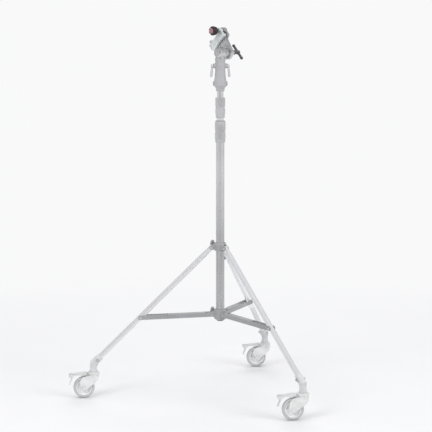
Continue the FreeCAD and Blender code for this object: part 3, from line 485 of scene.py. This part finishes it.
def skin_rings(name, rings, place, material, body, node, sharp, tread=None):
    """Closed skin through a list of rings, standing in for a CAD node.

    A ring of one point is a pole; with no poles the last ring joins the first.
    tread: value of the "tread" attribute on each ring. sharp: edge angle in degrees.
    """
    bm = bmesh.new()
    layer = bm.verts.layers.float.new("tread") if tread else None
    rows = []
    for k, ring in enumerate(rings):
        row = [bm.verts.new(place(*point)) for point in ring]
        if tread:
            for vert in row:
                vert[layer] = tread[k]
        rows.append(row)
    pairs = list(zip(rows, rows[1:]))
    if len(rows[0]) > 1 and len(rows[-1]) > 1:
        pairs.append((rows[-1], rows[0]))
    for first, second in pairs:
        count = max(len(first), len(second))
        for i in range(count):
            j = (i + 1) % count
            if len(first) == 1:
                bm.faces.new((first[0], second[j], second[i]))
            elif len(second) == 1:
                bm.faces.new((first[i], first[j], second[0]))
            else:
                bm.faces.new((first[i], first[j], second[j], second[i]))
    bmesh.ops.recalc_face_normals(bm, faces=bm.faces[:])
    made = add_object(name, bm, material)
    mesh = made.data
    mesh.polygons.foreach_set("use_smooth", [True] * len(mesh.polygons))
    mesh.set_sharp_from_angle(angle=math.radians(sharp))
    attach(made, body)
    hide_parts(node)


def make_ring(count, point):
    """Ring of point(angle, index) all the way round."""
    return [point(2 * math.pi * i / count, i) for i in range(count)]


def circle(x, radius, count):
    return make_ring(count, lambda t, i: (x, radius * math.cos(t), radius * math.sin(t)))


def pole(x):
    return [(x, 0, 0)]


def ease(t):
    t = max(0.0, min(1.0, t))
    return t * t * (3 - 2 * t)


# ---------------------------------------------------------------- wheels
def wheel_frame(node):
    """Local frame at the middle of a wheel part, its radius and its half width."""
    half_mm = 500.0  # half a size in metres, as millimetres
    low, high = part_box(node)
    place = Place((low + high) / 2, (0, 1, 0), (0, 0, 1))
    return place, (high.z - low.z) * half_mm, (high.y - low.y) * half_mm


def tyre(letter):
    """Crowned tread with a parting line and two shallow grooves; bars on the side walls."""
    count = 192
    bar_height = 0.45
    node = f"caster_{letter}_tyre"
    place, outer, side = wheel_frame(node)
    seat = outer - 13.0
    # height above the seat, distance from the mid plane, tread share, 1 where bars stand
    seat_row = (0.0, 0.0, 0, 0)
    half = [
        (0.0, side - 2.9, 0, 0), (1.0, side - 2.0, 0, 0), (1.7, side - 1.1, 0, 0),
        (2.6, side - 0.75, 0, 0), (3.4, side - 0.7, 0, 0), (3.8, side - 0.1, 0, 0),
        (5.0, side, 0, 0), (5.4, side - 0.55, 0, 1), (8.4, side - 1.3, 0, 1),
        (8.8, side - 1.1, 0.1, 0), (9.8, side - 1.75, 0.25, 0), (11.0, side - 3.3, 0.5, 0),
        (12.0, side - 5.6, 0.8, 0), (12.45, side - 7.6, 1, 0), (12.55, side - 8.2, 1, 0),
        (11.95, side - 8.55, 1, 0), (11.95, side - 9.15, 1, 0), (12.72, side - 9.5, 1, 0),
        (12.95, side - 12.0, 1, 0), (12.85, 0.75, 1, 0), (13.0, 0.4, 1, 0),
    ]
    mirrored = [(rise, -across, tread, bars) for rise, across, tread, bars in reversed(half)]
    profile = [seat_row] + half + mirrored

    def ring(rise, across, bars):
        radius = seat + rise

        def point(t, i):
            bar = bar_height if bars and i % 4 < 2 else 0.0
            return (across + math.copysign(bar, across),
                    radius * math.cos(t), radius * math.sin(t))
        return make_ring(count, point)

    rings = [ring(rise, across, bars) for rise, across, tread, bars in profile]
    skin_rings("wheel_tread_" + letter, rings, place, MATERIALS["tyre"],
               f"caster_{letter}_wheel", node, sharp=28.0,
               tread=[row[2] for row in profile])


def wheel_centre(letter):
    """Rim, boss and a dished web stiffened by ribs."""
    count = 240
    rib_pitch = 2 * math.pi / 6
    node = f"caster_{letter}_hub"
    place, rim, boss = wheel_frame(node)
    # radius, distance from the mid plane, the same on a rib (0 = no rib here)
    half = [
        (6.1, boss, 0), (10.6, boss, 0), (11.5, boss - 0.7, 0), (12.0, boss - 3.0, 0),
        (12.4, boss - 5.5, 0), (12.8, 6.6, 11.6), (13.6, 4.6, 11.2), (15.2, 3.5, 10.9),
        (18.0, 3.0, 10.4), (22.0, 2.8, 9.8), (26.0, 2.8, 9.5), (29.0, 3.2, 9.4),
        (30.6, 4.4, 9.6), (31.6, 6.6, 9.9), (32.1, 9.4, 10.4), (32.6, 11.4, 11.4),
        (33.4, 12.5, 12.5), (35.0, 12.9, 12.9), (36.3, 12.6, 12.6), (rim, 12.1, 12.1),
    ]
    half = [(radius, web, rib or web) for radius, web, rib in half]
    profile = half + [(radius, -web, -rib) for radius, web, rib in reversed(half)]

    def ring(radius, web, rib):
        def point(t, i):
            from_rib = ((t + rib_pitch / 2) % rib_pitch) - rib_pitch / 2
            arc = abs(from_rib) * max(radius, 14.0)
            share = ease((2.5 - arc) / 1.3)
            return (web + (rib - web) * share, radius * math.cos(t), radius * math.sin(t))
        return make_ring(count, point)

    skin_rings("wheel_centre_" + letter, [ring(*row) for row in profile], place,
               MATERIALS["centre"], f"caster_{letter}_wheel", node, sharp=30.0)


for letter in "abc":
    tyre(letter)
    wheel_centre(letter)


# ---------------------------------------------------------------- knobs
def knob_frame(node):
    """Frame of a knob with z to its widest point, its ends along the axis and its reach."""
    joint = JOINTS[node + "_turn"]
    axis = unit(joint["axis"])
    origin = Vector(joint["pos_m"])
    offsets = [vertex.co - origin for vertex in NODES[node].data.vertices]
    along = [offset.dot(axis) for offset in offsets]
    across = [offset - axis * x for offset, x in zip(offsets, along)]
    widest = max(range(len(across)), key=lambda i: across[i].length)
    # the axis points to the end that is widest
    if abs(along[widest] - min(along)) < abs(along[widest] - max(along)):
        axis = -axis
        along = [-x for x in along]
    place = Place(origin, axis, across[widest].normalized())
    return place, min(along) * 1000.0, max(along) * 1000.0, across[widest].length * 1000.0


# distance from the start of the grip, share of the full oval, depth of the flutes
WING_GRIP = (
    (0.0, 0.62, 0), (0.5, 0.74, 0), (1.5, 0.85, 0.018), (3.0, 0.93, 0.036),
    (5.0, 0.98, 0.042), (7.2, 1.0, 0.042), (9.2, 0.985, 0.036), (11.0, 0.94, 0.03),
    (12.2, 0.88, 0.012), (12.8, 0.82, 0), (13.0, 0.76, 0), (12.7, 0.70, 0),
    (12.0, 0.62, 0), (11.2, 0.50, 0), (10.6, 0.34, 0), (10.3, 0.16, 0),
)


def wing_knob(node):
    """Oval fluted grip with a dished end, on a turned neck and a thin shank."""
    count = 96
    place, start, end, reach = knob_frame(node)
    half_width = reach * 0.48
    grip = end - 13.0
    neck = grip - 16.4 if end - start > 40 else start + 4
    # distance along the axis, radius
    turned = (
        (start, 3.8), (start + 1.2, 5.0), (neck, 5.0), (neck, 9.2), (neck + 0.4, 9.7),
        (neck + 2.0, 10.5), (neck + 3.4, 10.5), (neck + 3.8, 10.1), (neck + 4.4, 10.1),
        (neck + 4.8, 10.5), (neck + 6.2, 10.4), (neck + 9.0, 9.0), (grip - 2.6, 8.2),
        (grip - 0.6, 8.4),
    )

    def oval(x, share, flute):
        def point(t, i):
            cos, sin = math.cos(t), math.sin(t)
            waves = 0.5 + 0.5 * math.cos(12 * math.pi * cos)
            fluted = 1.0 - flute * waves * ease((abs(cos) - 0.25) / 0.25)
            return (grip + x, half_width * share * sin * (1.0 + 0.10 * cos * cos) * fluted,
                    reach * share * cos)
        return make_ring(count, point)

    rings = [pole(start)] + [circle(x, radius, count) for x, radius in turned]
    rings += [oval(*row) for row in WING_GRIP] + [pole(grip + 10.2)]
    skin_rings(node + "_grip", rings, place, MATERIALS["hub_knob"], node,
               node, sharp=40.0)


def clamp_knob():
    """Seven ribbed lobes on a necked collar, with a domed disc in the end."""
    lobes = 7
    count = lobes * 28
    disc_count = 96
    place, start, end, _ = knob_frame("clamp_knob")
    # distance along the axis, radius, depth between lobes, height of the grip ribs
    grip = (
        (end - 20.0, 5.05, 0, 0), (start, 5.05, 0, 0), (start, 9.6, 0, 0),
        (start + 0.6, 10.4, 0, 0), (start + 1.6, 11.2, 0, 0), (start + 4.0, 11.4, 0, 0),
        (start + 4.4, 10.9, 0, 0), (start + 5.2, 10.9, 0, 0), (start + 5.6, 11.4, 0, 0),
        (start + 8.4, 11.6, 0, 0), (end - 27.0, 14.5, 0.03, 0), (end - 25.6, 18.4, 0.1, 0),
        (end - 24.2, 20.0, 0.14, 0), (end - 21.0, 21.3, 0.165, 0),
        (end - 20.6, 21.5, 0.17, 0.016), (end - 16.0, 21.65, 0.17, 0.016),
        (end - 11.0, 21.5, 0.17, 0.016), (end - 6.0, 21.2, 0.17, 0.016),
        (end - 5.6, 21.1, 0.17, 0), (end - 3.4, 20.3, 0.16, 0), (end - 1.9, 19.0, 0.14, 0),
        (end - 1.0, 17.4, 0.1, 0), (end - 0.45, 15.6, 0.05, 0), (end - 0.1, 14.2, 0, 0),
        (end - 0.4, 13.4, 0, 0), (end - 3.4, 13.1, 0, 0),
    )

    def lobed(x, radius, depth, rib):
        def point(t, i):
            crest = 0.5 + 0.5 * math.cos(lobes * t)
            share = 1.0 - depth * (1.0 - crest) ** 1.6
            if crest > 0.35 and i % 4 < 2:
                share += rib
            return (x, radius * share * math.cos(t), radius * share * math.sin(t))
        return make_ring(count, point)

    rings = [pole(end - 20.0)] + [lobed(*row) for row in grip] + [pole(end - 3.4)]
    skin_rings("clamp_knob_grip", rings, place, MATERIALS["black"], "clamp_knob",
               "clamp_knob", sharp=34.0)

    # distance past the end of the knob, radius
    disc = (
        (-3.3, 12.9), (0.2, 12.9), (1.3, 12.45), (1.8, 11.5), (1.75, 11.0), (1.5, 10.6),
        (1.55, 10.1), (1.95, 9.6), (2.4, 7.4), (2.65, 5.0), (2.76, 2.5),
    )
    rings = [pole(end - 3.3)] + [circle(end + x, radius, disc_count) for x, radius in disc]
    rings.append(pole(end + 2.8))
    skin_rings("clamp_knob_disc", rings, place, MATERIALS["red"], "clamp_knob",
               "clamp_knob_cap", sharp=30.0)


wing_knob("leg_hub_knob")
wing_knob("brace_hub_knob")
clamp_knob()


# ---------------------------------------------------------------- stage
def floor_material():
    """Pale matt floor that fades into the backdrop with distance."""
    mat = Mat("studio_floor")
    patches = mat.noise(2.5, detail=3.0, rough=0.5)
    mat.set("Base Color", mat.mix(patches, grey(236, blue=1), grey(232, blue=2)))
    mat.set("Roughness", 0.6)
    mat.set("Specular IOR Level", 0.2)
    mat.bump(mat.noise(160.0, detail=3.0, rough=0.6), strength=0.03, distance=0.001)
    glow = mat.add("ShaderNodeEmission", BACKDROP, 1.0)
    distance = mat.add("ShaderNodeVectorMath", mat.coords, operation="LENGTH").outputs["Value"]
    fade = mat.smooth(mat.remap(distance, (1.0, 3.6)), (0.0, 1.0))
    mixed = mat.add("ShaderNodeMixShader", fade, mat.shader.outputs[0], glow.outputs[0])
    mat.link(mixed.outputs[0], mat.out.inputs[0])
    return mat.material


def floor():
    """Disc of rings, just below the wheels."""
    level = -0.0004
    segments = 64
    bm = bmesh.new()
    last = [bm.verts.new((0, 0, level))]
    for radius in (0.5, 1.0, 2.0, 4.0, 8.0, 16.0, 32.0):
        angles = [2 * math.pi * i / segments for i in range(segments)]
        row = [bm.verts.new((radius * math.cos(t), radius * math.sin(t), level)) for t in angles]
        for i in range(segments):
            j = (i + 1) % segments
            if len(last) == 1:
                bm.faces.new((last[0], row[i], row[j]))
            else:
                bm.faces.new((last[i], row[i], row[j], last[j]))
        last = row
    add_object("floor", bm, floor_material())


# azimuth, half width, soft edge (degrees), lower and upper z of the direction, power
SOFT_BOXES = (
    (-40, 17, 16, 0.02, 0.7, 1.15),
    (-150, 12, 18, 0.02, 0.75, 0.55),
    (75, 30, 25, 0.0, 0.6, 0.45),
    (160, 14, 20, 0.0, 0.6, 0.3),
)


def studio_world():
    """Pale backdrop to the camera; a grey room with tall soft boxes to everything else."""
    world = bpy.data.worlds.new("studio")
    bpy.context.scene.world = world
    world.use_nodes = True
    sky = Graph(world.node_tree)
    coords = sky.add("ShaderNodeTexCoord").outputs["Generated"]
    x, y, z = sky.add("ShaderNodeSeparateXYZ", coords).outputs
    flat = sky.add("ShaderNodeCombineXYZ", x, y).outputs[0]
    heading = sky.add("ShaderNodeVectorMath", flat, operation="NORMALIZE").outputs[0]

    def soft_box(azimuth, half, soft, bottom, top, power):
        angle = math.radians(azimuth)
        facing = sky.dot(heading, (math.cos(angle), math.sin(angle), 0.0))
        rim = math.cos(math.radians(half + soft))
        across = sky.smooth(facing, (rim, math.cos(math.radians(half))))
        upright = sky.mul(sky.smooth(z, (bottom - 0.15, bottom + 0.1)),
                          sky.smooth(z, (top + 0.2, top - 0.1)))
        return sky.mul(sky.mul(across, upright), power)

    walls = sky.smooth(z, (-0.35, 0.1), to=(0.75, 0.5))
    ceiling = sky.smooth(z, (0.3, 0.95), to=(0.0, 0.55))
    room = sky.plus(walls, ceiling)
    for box in SOFT_BOXES:
        room = sky.plus(room, soft_box(*box))
    strength = sky.mul(room, 0.62)
    lighting = sky.add("ShaderNodeBackground", (0.985, 0.99, 1.0, 1), strength)
    backdrop = sky.add("ShaderNodeBackground", BACKDROP, 1.0)
    seen = sky.add("ShaderNodeLightPath").outputs["Is Camera Ray"]
    mixed = sky.add("ShaderNodeMixShader", seen, lighting.outputs[0], backdrop.outputs[0])
    sky.add("ShaderNodeOutputWorld", mixed.outputs[0])


def aim(made, location, target):
    made.location = location
    made.rotation_mode = "QUATERNION"
    away = Vector(target) - Vector(location)
    made.rotation_quaternion = away.to_track_quat("-Z", "Y")


def area(name, location, target, size, power):
    """Rectangular light, kept out of reflections."""
    light = bpy.data.lights.new(name, "AREA")
    light.energy = power
    light.shape = "RECTANGLE"
    light.size, light.size_y = size
    made = bpy.data.objects.new(name, light)
    bpy.context.scene.collection.objects.link(made)
    aim(made, location, target)
    made.visible_glossy = False


def camera():
    data = bpy.data.cameras.new("camera")
    made = bpy.data.objects.new("camera", data)
    bpy.context.scene.collection.objects.link(made)
    aim(made, location=(-0.908, -6.793, 1.748), target=(-0.02, 0.0, 0.855))
    data.sensor_width = 36.0
    data.lens = 122.0
    data.clip_start = 0.1
    data.clip_end = 100.0
    bpy.context.scene.camera = made


floor()
studio_world()
area("key", location=(-3.4, -3.8, 4.2), target=(0, 0, 0.8), size=(2.8, 2.2), power=120)
area("fill", location=(4.4, -3.4, 2.8), target=(0, 0, 0.9), size=(2.2, 2.6), power=75)
area("rim", location=(0.8, 4.6, 3.8), target=(0, 0, 0.9), size=(3.2, 1.6), power=70)
area("top", location=(0, 0, 5.2), target=(0, 0, 0), size=(3.6, 3.6), power=60)
camera()
bpy.context.scene.view_settings.view_transform = "Standard"
